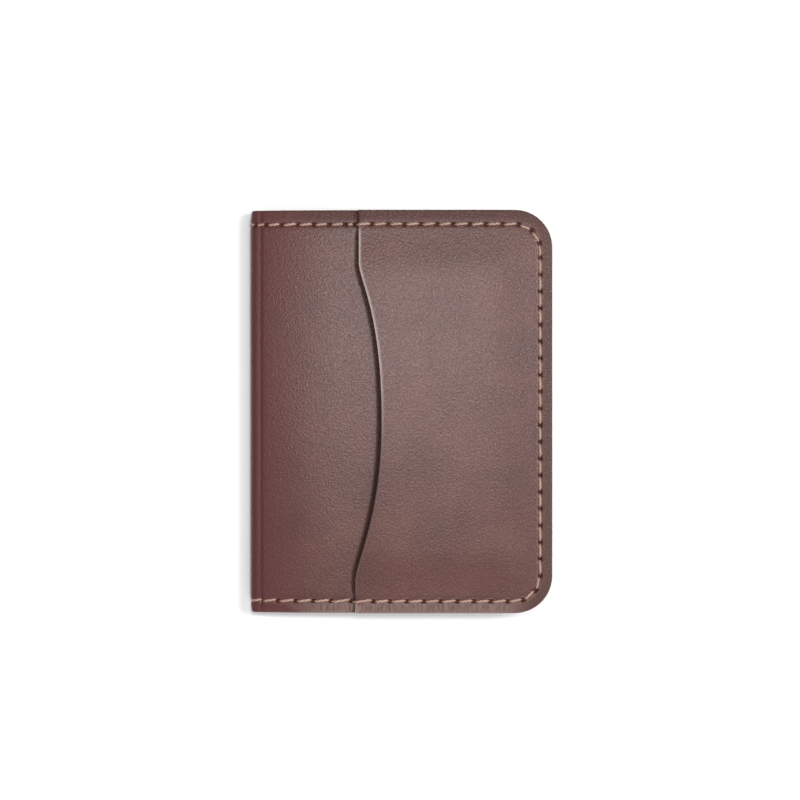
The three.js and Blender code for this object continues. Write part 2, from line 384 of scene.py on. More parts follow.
def triangles(loop, points):
    # a Delaunay net inside the loop, in a plane where the spine is stretched out
    both = np.vstack([loop, points])
    stretch = panelShape["spineStretch"] * np.clip(both[:, 0], -halfBend, halfBend)
    flat = both + np.stack([stretch, 0 * stretch], -1)
    edges = [(i, (i + 1) % len(loop)) for i in range(len(loop))]
    made = delaunay_2d_cdt([Vector(p) for p in flat], edges, [], 1, 1e-7)
    return [[made[3][i][0] for i in face] for face in made[2]]


def leatherPanel(name, loop, weights, side, grainDepth, thickness, facing, holes, height, lift,
                 materials, line=None, extra=None):
    # loop is the panel's outline on a front cover, anticlockwise. side is 1 on the front cover and
    # -1 on the rear. facing is 1 where the grain looks out and -1 where it looks into the fold.
    s = panelShape
    top, low = s["rounding"], s["rearRounding"]
    profile = [(top, 1, 0)]                   # (inset, on the grain face, rise) down over the edge
    for a in np.radians(s["roundingAngles"]):
        profile.append((top * (1 - math.cos(a)), 1, -top * (1 - math.sin(a))))
    profile += [(0, 1, -top), (0, 0, low), (low * 0.3, 0, low * 0.3), (low, 0, 0)]
    grainLoop = insetLoop(loop, weights, top)
    fleshLoop = insetLoop(loop, weights, low)
    grainPoints = fieldPoints(loop, holes, line, True)
    grainPoints = grainPoints[insideLoop(grainPoints, grainLoop, s["grainClear"])]
    fleshPoints = fieldPoints(loop, holes, None, False)
    fleshPoints = fleshPoints[insideLoop(fleshPoints, fleshLoop, s["fleshClear"])]
    places, heights, faces, kinds = [], [], [], []

    def add(points, onGrain, rise):
        first = sum(len(p) for p in places)
        h = lift(*points.T) + rise
        h = h + (height(*points.T) if onGrain else -thickness)
        places.append(points)
        heights.append(h)
        return first

    add(grainLoop, True, 0)
    add(grainPoints, True, 0)
    for face in triangles(grainLoop, grainPoints):
        faces.append(face)
        kinds.append(0)
    count = len(loop)
    rings = [0]
    for inset, onGrain, rise in profile[1:]:
        rings.append(add(insetLoop(loop, weights, inset), onGrain, rise))
    for ring, (a, b) in enumerate(zip(rings, rings[1:])):
        for i in range(count):
            j = (i + 1) % count
            faces.append([a + i, b + i, b + j, a + j])
            kinds.append(0 if ring < s["grainRings"] else 1)
    first = add(fleshPoints, False, 0)
    for face in triangles(fleshLoop, fleshPoints):
        back = [rings[-1] + i if i < count else first + i - count for i in face]
        faces.append(back[::-1])
        kinds.append(2)
    uv = np.vstack(places)
    h = np.concatenate(heights)
    depth = grainDepth - facing * h
    co = onSheet(side * uv[:, 0], uv[:, 1], depth)
    if side * facing < 0:
        faces = [f[::-1] for f in faces]
    mesh = bpy.data.meshes.new(name)
    mesh.from_pydata(co.tolist(), [], faces)
    for material in materials:
        mesh.materials.append(material)
    mesh.polygons.foreach_set("material_index", kinds)
    mesh.polygons.foreach_set("use_smooth", [True] * len(faces))
    cut = set()                               # edges across the spine stay sharp
    for i in range(count):
        if weights[i] == 0:
            for ring in rings:
                cut.add(frozenset((ring + i, ring + (i + 1) % count)))
    sharp = mesh.attributes.new("sharp_edge", "BOOLEAN", "EDGE")
    sharp.data.foreach_set("value", [frozenset(e.vertices) in cut for e in mesh.edges])
    layer = mesh.uv_layers.new(name="hide")   # flat places on the hide
    loops = np.empty(len(mesh.loops), int)
    mesh.loops.foreach_get("vertex_index", loops)
    flat = np.stack([side * uv[:, 0], uv[:, 1]], -1) / hideUnit
    layer.data.foreach_set("uv", flat[loops].ravel())
    onGrain = (h > -thickness * 0.6).astype(float)       # and on the upper part of the edge
    edge = np.concatenate([
        np.min(np.linalg.norm(part[:, None] - loop[None], axis=2), 1)
        for part in batches(uv)
    ])
    marks = {
        # painted shade in the awl holes
        "deepShade": holeMark(*uv.T, holes) * onGrain,
        # painted shade beside the thread, where the groove also presses the leather darker
        "pressed": np.exp(-(seamDistance(*uv.T) / s["pressReach"]) ** 2) * onGrain,
        "rim": np.exp(-(edge / s["rimReach"]) ** 2),
    }
    for key, mark in (extra or {}).items():
        marks[key] = mark(*uv.T) * onGrain
    for key, values in marks.items():
        mark = mesh.attributes.new(key, "FLOAT", "POINT")
        mark.data.foreach_set("value", values.astype(np.float32))
    made = bpy.data.objects.new(name, mesh)
    bpy.context.collection.objects.link(made)
    print(name, len(faces), "faces")
    return made


def seamRelief(holes):
    def height(u, v):
        groove = np.exp(-(seamDistance(u, v) / seam["grooveWidth"]) ** 2)
        return -seam["grooveDepth"] * groove - seam["holeDepth"] * holeMark(u, v, holes)
    return height


def rollOff(u, v):
    # outside the seam the leather thins towards its edge
    return -sag["edgeDrop"] * smooth(seamDistance(u, v), *seam["marginFade"])


# Materials


def linear(hexColour):
    channels = [int(hexColour[i:i + 2], 16) / 255 for i in (0, 2, 4)]
    return [c / 12.92 if c <= 0.04045 else ((c + 0.055) / 1.055) ** 2.4 for c in channels] + [1]


def addNode(tree, kind, inputs=None, out=0, stops=(), **settings):
    # one node with its settings, links and colour stops; gives the output that is asked for
    node = tree.nodes.new(kind)
    for key, value in settings.items():
        setattr(node, key, value)
    for key, value in (inputs or {}).items():
        if isinstance(value, bpy.types.NodeSocket):
            tree.links.new(value, node.inputs[key])
        else:
            node.inputs[key].default_value = value
    if stops:
        elements = node.color_ramp.elements
        elements.remove(elements[-1])
        for i, (place, colour) in enumerate(stops):
            element = elements[0] if i == 0 else elements.new(place)
            element.position = place
            element.color = linear(colour) if isinstance(colour, str) else (colour, colour, colour, 1)
    return node.outputs[out] if node.outputs else None


def newMaterial(name):
    material = bpy.data.materials.new(name)
    material.use_nodes = True
    material.node_tree.nodes.clear()
    return material, partial(addNode, material.node_tree)


def fullGrainLeather(name, look):
    # Full-grain cowhide, drum dyed and waxed by hand. The wax gives a soft broad sheen and the hide
    # stays mottled; it is darker near its edges, paler on the bottom margin and darker beside the thread,
    # where the groove presses it. Painted light is mixed into its colour too: a painted highlight along
    # the quick pocket's lip, and painted shade in the awl holes, beside the thread, under the lip, on the
    # other margins and towards the spine.
    material, add = newMaterial(name)
    hide = add("ShaderNodeUVMap", uv_map="hide")

    def cloud(size, detail, offset, along=1.0):          # size in millimetres of one patch
        place = add("ShaderNodeMapping", {
            "Vector": hide, "Location": (offset, offset, 0), "Scale": (1, 1 / along, 1)})
        return add("ShaderNodeTexNoise", {
            "Vector": place, "Scale": hideUnit / size, "Detail": detail, "Roughness": 0.6})

    marks = {key: add("ShaderNodeAttribute", out="Fac", attribute_name=key)
             for key in ("rim", "margin", "paleMargin", "lip", "pressed", "deepShade", "under")}
    base = add("ShaderNodeValToRGB", {"Fac": cloud(look["mottleSize"], 3, 3.7)},
               stops=[(0.28, look["dark"]), (0.5, look["middle"]), (0.72, look["pale"])])
    fine = add("ShaderNodeValToRGB", {"Fac": cloud(look["grainSize"], 3, 1.3, look["grainStretch"])},
               stops=[(0.36, look["grainDark"]), (0.64, 1.0)])
    up = add("ShaderNodeSeparateXYZ", {"Vector": hide}, out="Y")
    crisp = add("ShaderNodeMapRange", {                  # the grain and flecks show less on the lower half
        "Value": up, "From Min": look["smoothBelow"] / hideUnit, "From Max": look["crispAbove"] / hideUnit,
        "To Min": look["smoothGrain"], "To Max": 1.0})
    meanGrain = [look["grainMean"]] * 3 + [1]
    fine = add("ShaderNodeMix", {0: crisp, 6: meanGrain, 7: fine}, out=2, data_type="RGBA")
    base = add("ShaderNodeMix", {0: 1.0, 6: base, 7: fine}, out=2, data_type="RGBA", blend_type="MULTIPLY")
    # each mark mixes in its colour: painted shade, a painted highlight along the lip, darker edges and a
    # paler bottom margin
    for key, (colour, strength) in look["marksAndPaintedLight"].items():
        shown = add("ShaderNodeMath", {0: marks[key], 1: strength}, operation="MULTIPLY")
        base = add("ShaderNodeMix", {0: shown, 6: base, 7: linear(look[colour])}, out=2, data_type="RGBA")
    flecks = add("ShaderNodeValToRGB", {"Fac": cloud(look["fleckSize"], 2, 4.4)},
                 stops=[(0.55, 0.0), (0.7, look["flecks"])])
    flecks = add("ShaderNodeMath", {0: flecks, 1: crisp}, operation="MULTIPLY")
    base = add("ShaderNodeMix", {0: flecks, 6: base, 7: linear(look["fleck"])}, out=2, data_type="RGBA")
    creases = add("ShaderNodeValToRGB", {"Fac": cloud(look["creaseWidth"], 2, 6.1, look["creaseStretch"])},
                  stops=[(0.36, 0.5), (0.62, 1.0)])      # they cross the paler bottom margin
    base = add("ShaderNodeMix", {0: marks["paleMargin"], 6: base, 7: creases}, out=2,
               data_type="RGBA", blend_type="MULTIPLY")
    scars = add("ShaderNodeValToRGB", {"Fac": cloud(look["scarSize"], 1, 9.4)},
                stops=[(0.19, 0.55), (0.26, 1.0)])       # few and small
    base = add("ShaderNodeMix", {0: scars, 6: linear(look["pressed"]), 7: base}, out=2, data_type="RGBA")
    # painted shade: the leather is painted darker and redder towards the spine, where the cover turns away
    # from the light
    across = add("ShaderNodeSeparateXYZ", {"Vector": hide}, out="X")
    across = add("ShaderNodeMath", {0: across}, operation="ABSOLUTE")
    fold = add("ShaderNodeMapRange", {
        "Value": across, "From Min": halfBend / hideUnit * look["foldStart"],
        "From Max": look["foldReach"] / hideUnit, "To Min": look["foldStrength"], "To Max": 0.0},
        interpolation_type="SMOOTHSTEP")
    base = add("ShaderNodeMix", {0: fold, 6: base, 7: linear(look["fold"])}, out=2, data_type="RGBA")
    pores = add("ShaderNodeTexVoronoi", {
        "Vector": hide, "Scale": hideUnit / look["poreSize"], "Randomness": 1.0}, feature="SMOOTH_F1")
    pores = add("ShaderNodeMath", {0: pores, 1: look["poreShare"]}, operation="MULTIPLY")
    grain = add("ShaderNodeMath", {
        0: cloud(look["grainSize"], 4, 5.2, look["grainStretch"]), 1: look["grainShare"]},
        operation="MULTIPLY")
    relief = add("ShaderNodeMath", {0: pores, 1: grain}, operation="ADD")
    bump = add("ShaderNodeBump", {
        "Height": relief, "Strength": look["grainStrength"], "Distance": look["grainDepth"] * mm})
    smear = look["roughness"] - 0.04, look["roughness"] + 0.05
    rough = add("ShaderNodeValToRGB", {"Fac": cloud(look["smearSize"], 3, 7.7)},
                stops=[(0.3, smear[0]), (0.7, smear[1])])
    for key, more in look["dull"].items():
        dull = add("ShaderNodeMath", {0: marks[key], 1: more}, operation="MULTIPLY")
        rough = add("ShaderNodeMath", {0: rough, 1: dull}, operation="ADD")
    shader = add("ShaderNodeBsdfPrincipled", {
        "Base Color": base, "Roughness": rough, "IOR": 1.48, "Normal": bump})
    add("ShaderNodeOutputMaterial", {"Surface": shader})
    return material


def bareLeather(name, look):
    # Leather without its grain, where the fibres show: the cut edge and the flesh side.
    material, add = newMaterial(name)
    place = add("ShaderNodeTexCoord", out="Object")
    fibres = add("ShaderNodeTexNoise", {
        "Vector": place, "Scale": 1 / (look["fibreSize"] * mm), "Detail": look["detail"]})
    base = add("ShaderNodeValToRGB", {"Fac": fibres}, stops=[(0.3, look["dark"]), (0.7, look["pale"])])
    bump = add("ShaderNodeBump", {
        "Height": fibres, "Strength": look["fibreStrength"], "Distance": look["fibreDepth"] * mm})
    shader = add("ShaderNodeBsdfPrincipled", {
        "Base Color": base, "Roughness": look["roughness"], "IOR": look["ior"], "Normal": bump,
        "Sheen Weight": look["sheen"]})
    add("ShaderNodeOutputMaterial", {"Surface": shader})
    return material


def waxedThread(name, look):
    # Waxed polyester cord, 0.8 mm, twisted from three plies: a satin tan, with painted shade in the
    # furrows between the plies.
    material, add = newMaterial(name)
    along = add("ShaderNodeUVMap", uv_map="thread")
    turned = add("ShaderNodeMapping", {
        "Vector": along, "Rotation": (0, 0, math.radians(look["plyAngle"]))})
    plies = add("ShaderNodeTexWave", {
        "Vector": turned, "Scale": look["plyScale"], "Distortion": 0.4, "Detail": 1.0},
        out="Fac", wave_type="BANDS", bands_direction="X", wave_profile="SIN")
    # painted shade in the furrows between the plies
    base = add("ShaderNodeValToRGB", {"Fac": plies}, stops=[(0.1, look["dark"]), (0.6, look["pale"])])
    place = add("ShaderNodeTexCoord", out="Object")
    dirt = add("ShaderNodeTexNoise", {"Vector": place, "Scale": 1 / (look["dirtSize"] * mm), "Detail": 2})
    dirt = add("ShaderNodeValToRGB", {"Fac": dirt}, stops=[(0.35, 0.82), (0.65, 1.0)])
    base = add("ShaderNodeMix", {0: 1.0, 6: base, 7: dirt}, out=2, data_type="RGBA", blend_type="MULTIPLY")
    bump = add("ShaderNodeBump", {"Height": plies, "Strength": 0.5, "Distance": 0.1 * mm})
    shader = add("ShaderNodeBsdfPrincipled", {
        "Base Color": base, "Roughness": look["roughness"], "IOR": 1.5, "Normal": bump,
        "Sheen Weight": 0.1})
    add("ShaderNodeOutputMaterial", {"Surface": shader})
    return material


# Sizes in the looks are in millimetres.
shellLook = {
    "dark": "563029", "middle": "60362f", "pale": "6b3f37", "mottleSize": 15.0,
    # Colours of the marks: a darker tone near the edges that is also the painted shade on the top and side
    # margins, a pale one for the bottom margin, a painted highlight for the lip, a dark colour for the
    # groove's painted shade and for scars, and a darker one for the painted shade in the awl holes and
    # under the lip.
    "edgeTone": "42201b", "paleMargin": "866a63", "lipHighlight": "e4d0c6", "pressed": "3c211c", "deepShade": "2a110c",
    "marksAndPaintedLight": {                   # colour and strength of each mark on the leather, in this order; several are painted shade and the lip's is a painted highlight
        "rim": ("edgeTone", 0.5), "margin": ("edgeTone", 0.85), "paleMargin": ("paleMargin", 0.7),
        "lip": ("lipHighlight", 0.85), "pressed": ("pressed", 0.35), "deepShade": ("deepShade", 1.0), "under": ("deepShade", 0.9),
    },
    "fleck": "ad968e", "flecks": 0.34, "fleckSize": 0.36,
    "creaseWidth": 0.4, "creaseStretch": 7.0, "scarSize": 2.6,
    # painted shade towards the spine, where the cover turns away from the light; the lining takes a little
    # of it
    "fold": "54292a", "foldStrength": 0.95, "foldStart": 0.7, "foldReach": 23.0,
    "grainSize": 0.42, "grainStretch": 1.4, "grainDark": 0.42, "grainMean": 0.72,
    "smoothGrain": 0.45, "smoothBelow": -25.0, "crispAbove": 10.0,
    "poreSize": 0.5, "poreShare": 0.55, "grainShare": 0.9, "grainStrength": 0.6, "grainDepth": 0.12,
    "roughness": 0.38, "smearSize": 0.9, "dull": {"under": 0.45, "margin": 0.2},
}
liningLook = dict(shellLook, dark="4a2f28", middle="53372f", pale="5d4037", foldStrength=0.2,
                  grainSize=0.5, poreSize=0.45, grainStrength=0.3, roughness=0.6, flecks=0.08)
slotLook = dict(shellLook, dark="54362e", middle="5d3e35", pale="67473d", foldStrength=0.0,
                grainStrength=0.4, roughness=0.46, flecks=0.15)
# The cut edge is dyed, wetted and rubbed smooth with wax: darker than the grain and shinier, with
# the faint lines of the fibres along it.
edgeLook = {
    "dark": "38221d", "pale": "553931", "fibreSize": 0.5, "detail": 3, "fibreStrength": 0.25,
    "fibreDepth": 0.08, "roughness": 0.38, "ior": 1.5, "sheen": 0.0,
}
# The flesh side of the hide is matt, paler and fibrous, like suede.
fleshLook = {
    "dark": "6b4c3c", "pale": "8f6e57", "fibreSize": 0.35, "detail": 5, "fibreStrength": 0.5,
    "fibreDepth": 0.15, "roughness": 0.92, "ior": 1.45, "sheen": 0.2,
}
threadLook = {
    "dark": "957160", "pale": "b79484", "plyAngle": 62.0, "plyScale": 0.55, "dirtSize": 3.5,
    "roughness": 0.55,
}

shellLeather = fullGrainLeather("full_grain_leather_waxed", shellLook)
liningLeather = fullGrainLeather("lining_leather_thin", liningLook)
slotLeather = fullGrainLeather("slot_leather_waxed", slotLook)
waxedEdge = bareLeather("leather_edge_burnished", edgeLook)
fleshSide = bareLeather("leather_flesh_side", fleshLook)
threadMaterial = waxedThread("polyester_thread_waxed", threadLook)
print("materials made")


# Panels

sag = {
    "coverSag": 1.5,            # the front cover slopes down to the spine
    "sagFrom": 25.0,
    "sagDeepest": 4.2,          # round the spine from its middle
    "pocketCrown": 0.55,        # the quick pocket stands a little proud between its seams
    "crownReach": 13.0,
    "lipLift": 0.45,            # the pocket's mouth gapes in the middle
    "lipReach": 16.0,
    "lipSpan": 0.86,            # the share of the height over which it gapes
    "waves": 0.07,
    "coverWave": 17.0,          # from crest to crest
    "pocketWave": 15.0,
    "flatBySeam": 14.0,         # the waves die out this near the seam
    "lipPress": 0.4,            # the shell is pressed in along the lip
    "edgeDrop": 0.32,           # of the outer leather from the seam to its edge
}


def frontLift(u, v):
    inner = smooth(-seamDistance(u, v), 0, sag["flatBySeam"])
    slope = np.clip((sag["sagFrom"] - u) / (sag["sagFrom"] - sag["sagDeepest"]), 0, 1) ** 2
    dip = -sag["coverSag"] * slope * smooth(u, 0, sag["sagDeepest"])
    return dip + sag["waves"] * inner * wander(u, v, sag["coverWave"], 0.4)


def noLift(u, v):
    return 0 * u


def lipLift(u, v):
    inside = pastLip(u, v, quickMouth)
    middle = np.clip(1 - (v / (topY * sag["lipSpan"])) ** 2, 0, 1) ** 1.5
    return sag["lipLift"] * middle * (1 - smooth(inside, 0, sag["lipReach"])) ** 1.5


def panelLoop(line):
    # round a pocket panel, from the lower end of its mouth back to the upper end
    edge = coverEdge(line[-1, 0])
    beforeMouth = (edge[:, 0] > line[0, 0] + outline["edgeStep"] * 0.6) | (edge[:, 1] < 0)
    loop = np.vstack([edge[beforeMouth], line[:-1]])
    return loop, np.ones(len(loop))


def halfLoop():
    # round half of a sheet, open along the middle of the spine
    edge = coverEdge(0.0)
    cut = straight((0, topY), (0, -topY), outline["cutStep"])
    loop = np.vstack([edge[:-1], cut[:-1]])
    weights = np.ones(len(loop))
    weights[len(edge) - 1:] = 0
    return loop, weights


# The ends of a blend at 45 degrees through the middle of the fold: from where the outer face of a
# cover ends, as far as the lining at the middle of the spine.
diagonal = 0.707
foldStart = diagonal * spineRadius
foldEnd = diagonal * (spineRadius - slotDepth)


def bend(piece, side):
    # bakes the piece's placement into its mesh; the ends of the blend are worked out but not used
    centre = np.array([bendX, 0, spineRadius])
    along = np.array([-math.sqrt(0.5), 0, math.sqrt(0.5)])
    start, end = centre - along * foldStart, centre + along * foldEnd
    if side > 0:
        start[2], end[2] = 2 * spineRadius - start[2], 2 * spineRadius - end[2]
        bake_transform(piece)
    else:
        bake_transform(piece)


marksAndPaintedLight = {                        # marks, most of them painted shade and a painted highlight, millimetres wide or from the seam or the lip
    "shadeEnds": 0.35,          # of the painted shadow on the shell under the lip, at the ends of the mouth
    "shadeMiddle": 0.8,         # and so much more in the middle
    "shadeSpan": 0.95,          # the share of the height over which it widens
    "shadeFade": (0.45, 1.25),  # shares of that width
    # the painted highlight along the quick pocket's lip
    "lipWidth": 0.42,
    "lipFade": (0.2, 2.0),      # in from the seam
    "lipLeast": 0.12,           # on the lower part of the lip, against one on the upper part
    "lipChange": 16.0,
    "lipEndHighlight": 0.8,           # painted highlight where the lip meets the bottom edge
    "lipEndHighlightFade": (0.5, 1.2),
    "paleFade": (0.4, 1.1),     # out from the seam on the bottom margin
    "paleFrom": (6.0, 20.0),    # and along it
    "paleTo": (64.0, 74.0),
    "darkFade": (0.3, 1.3),     # of the painted shade out from the seam on the other margins
    "pressWidth": 0.6,          # of the line that the lip presses into the shell
    "pressOutside": 0.15,
    "pressFade": (0.6, 3.0),
    "pocketFade": (-1.2, -0.2),
}


def paintedLipShadow(u, v):
    # painted shadow: the shell is painted darkest where the lip rests on it and just outside, as far as
    # the lip gapes
    outside = -pastLip(u, v, quickMouth)
    middle = np.clip(1 - (v / (topY * marksAndPaintedLight["shadeSpan"])) ** 2, 0, 1)
    reach = marksAndPaintedLight["shadeEnds"] + marksAndPaintedLight["shadeMiddle"] * middle
    near, far = marksAndPaintedLight["shadeFade"]
    return 1 - smooth(outside, reach * near, reach * far)


def paintedLipHighlight(u, v):
    # painted highlight along the quick pocket's lip, stronger on its upper part, and a painted highlight
    # where the lip meets the bottom edge
    least, change = marksAndPaintedLight["lipLeast"], marksAndPaintedLight["lipChange"]
    inner = smooth(-seamDistance(u, v), *marksAndPaintedLight["lipFade"])
    edgeTone = (least + (1 - least) * smooth(v, -change, change)) * inner
    pulled = marksAndPaintedLight["lipEndHighlight"] * smooth(seamDistance(u, v), *marksAndPaintedLight["lipEndHighlightFade"]) * (v < 0)
    return np.exp(-(pastLip(u, v, quickMouth) / marksAndPaintedLight["lipWidth"]) ** 2) * np.maximum(edgeTone, pulled)


def paleBottomMargin(u, v):
    # the bottom margin is paler
    along = smooth(u, *marksAndPaintedLight["paleFrom"]) * (1 - smooth(u, *marksAndPaintedLight["paleTo"]))
    return smooth(seamDistance(u, v), *marksAndPaintedLight["paleFade"]) * (v < 0) * along


def paintedMarginShade(u, v):
    # painted shade on the margins outside the seam, where they slope away from the light, except where the
    # bottom one is paler
    return smooth(seamDistance(u, v), *marksAndPaintedLight["darkFade"]) * (1 - paleBottomMargin(u, v))


def besidePocket(u, v):
    # the quick pocket holds the cover's margins up under it
    return 1 - smooth(pastLip(u, v, quickMouth), *marksAndPaintedLight["pocketFade"])


def plainRelief(holes):
    relief = seamRelief(holes)
    return lambda u, v: relief(u, v) + rollOff(u, v)


def frontRelief(u, v):
    fromLine = (pastLip(u, v, quickMouth) + marksAndPaintedLight["pressOutside"]) / marksAndPaintedLight["pressWidth"]
    pressed = np.exp(-fromLine ** 2) * smooth(-seamDistance(u, v), *marksAndPaintedLight["pressFade"])
    edge = rollOff(u, v) * besidePocket(u, v)
    return seamRelief(frontHoles)(u, v) + edge - sag["lipPress"] * pressed


loop, weights = halfLoop()
outerSkin = [shellLeather, waxedEdge, fleshSide]
innerSkin = [liningLeather, waxedEdge, fleshSide]

# The front shell carries the painted shadow under the quick pocket's lip, the painted shade on its margins
# and the paler bottom margin.
shellFront = leatherPanel("shell_front_leather", loop, weights, 1, 0.0, shellThickness, 1,
                          frontHoles, frontRelief, frontLift, outerSkin, quickMouth,
                          {"under": paintedLipShadow, "paleMargin": paleBottomMargin, "margin": paintedMarginShade})
shellRear = leatherPanel("shell_rear_leather", loop, weights, -1, 0.0, shellThickness, 1,
                         rearHoles, plainRelief(rearHoles), noLift, outerSkin)
liningGrain = liningDepth + liningThickness
liningFront = leatherPanel("lining_front_leather", loop, weights, 1, liningGrain, liningThickness, -1,
                           frontHoles, seamRelief(frontHoles), lambda u, v: -frontLift(u, v), innerSkin)
liningRear = leatherPanel("lining_rear_leather", loop, weights, -1, liningGrain, liningThickness, -1,
                          rearHoles, seamRelief(rearHoles), noLift, innerSkin)
for piece, side in ((shellFront, 1), (liningFront, 1), (shellRear, -1), (liningRear, -1)):
    bend(piece, side)
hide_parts("shell_front_cover")
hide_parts("shell_rear_cover", "shell_spine")
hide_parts("lining_front")
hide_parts("lining_rear", "lining_spine")


def pocketHeight(u, v):
    crown = smooth(-seamDistance(u, v), 0.3, sag["crownReach"])
    waves = sag["waves"] * crown * wander(u, v, sag["pocketWave"], 2.1)
    return plainRelief(frontHoles)(u, v) + sag["pocketCrown"] * crown + waves


quickLoop, quickWeights = panelLoop(quickMouth)
# The quick pocket carries the painted highlight along its lip, the paler bottom margin and the painted
# shade on the other margins.
quickPocket = leatherPanel("quick_pocket_leather", quickLoop, quickWeights, 1,
                           -layerGap - pocketThickness, pocketThickness, 1, frontHoles,
                           pocketHeight, lipLift, outerSkin, quickMouth,
                           {"lip": paintedLipHighlight, "paleMargin": paleBottomMargin, "margin": paintedMarginShade})
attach(quickPocket, "front_cover")
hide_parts("quick_pocket_panel")

slotSkin = [slotLeather, waxedEdge, fleshSide]
slots = {
    "front_slot": (1, slotDepth, frontHoles, "front_cover"),
    "rear_slot_back": (-1, slotDepth, rearHoles, "rear_cover"),
    "rear_slot_front": (-1, secondSlotDepth, rearHoles, "rear_cover"),
}
slotMouths = {}
for name, (side, depth, holes, body) in slots.items():
    line = mouthLine(boxOf(name + "_panel")[0][0])
    slotMouths[name] = line
    slotLoop, slotWeights = panelLoop(line)
    panel = leatherPanel(name + "_leather", slotLoop, slotWeights, side, depth + slotThickness,
                         slotThickness, -1, holes, seamRelief(holes), noLift, slotSkin, line)
    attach(panel, body)
    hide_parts(name + "_panel")


# Saddle stitches

stitch = {
    "madeHalf": 1.5,            # half of the stitch as it is first made, down to its ends
    "madeReach": 1.3,           # to the two handles of its curve
    "madeSpan": 2.75,           # how much of it shows
    "dive": 0.9,                # of its ends, in thread widths
    "bow": 0.3,                 # of its handles
    "endFullness": 0.65,        # of an end, against the middle
    "swell": 0.6,               # lower is fuller towards the ends
    "sway": 0.03,               # each way, in radians
    "shortest": 0.96,
    "longest": 1.03,
    "gap": 1.5,                 # between two stitches, over the hole they share
    "thickness": 0.62,          # of the thread where it is pulled flat
    "slantEnds": 7.0,           # degrees, along the top and bottom
    "slantSide": 3.0,
    "fullness": 1.2,            # of the thread between holes, against its nominal width
    "proud": 0.15,              # the middle of the thread, above the leather beside the groove
    "lipRise": 0.7,             # over which a stitch climbs a pocket's lip
    "seed": 7,
}


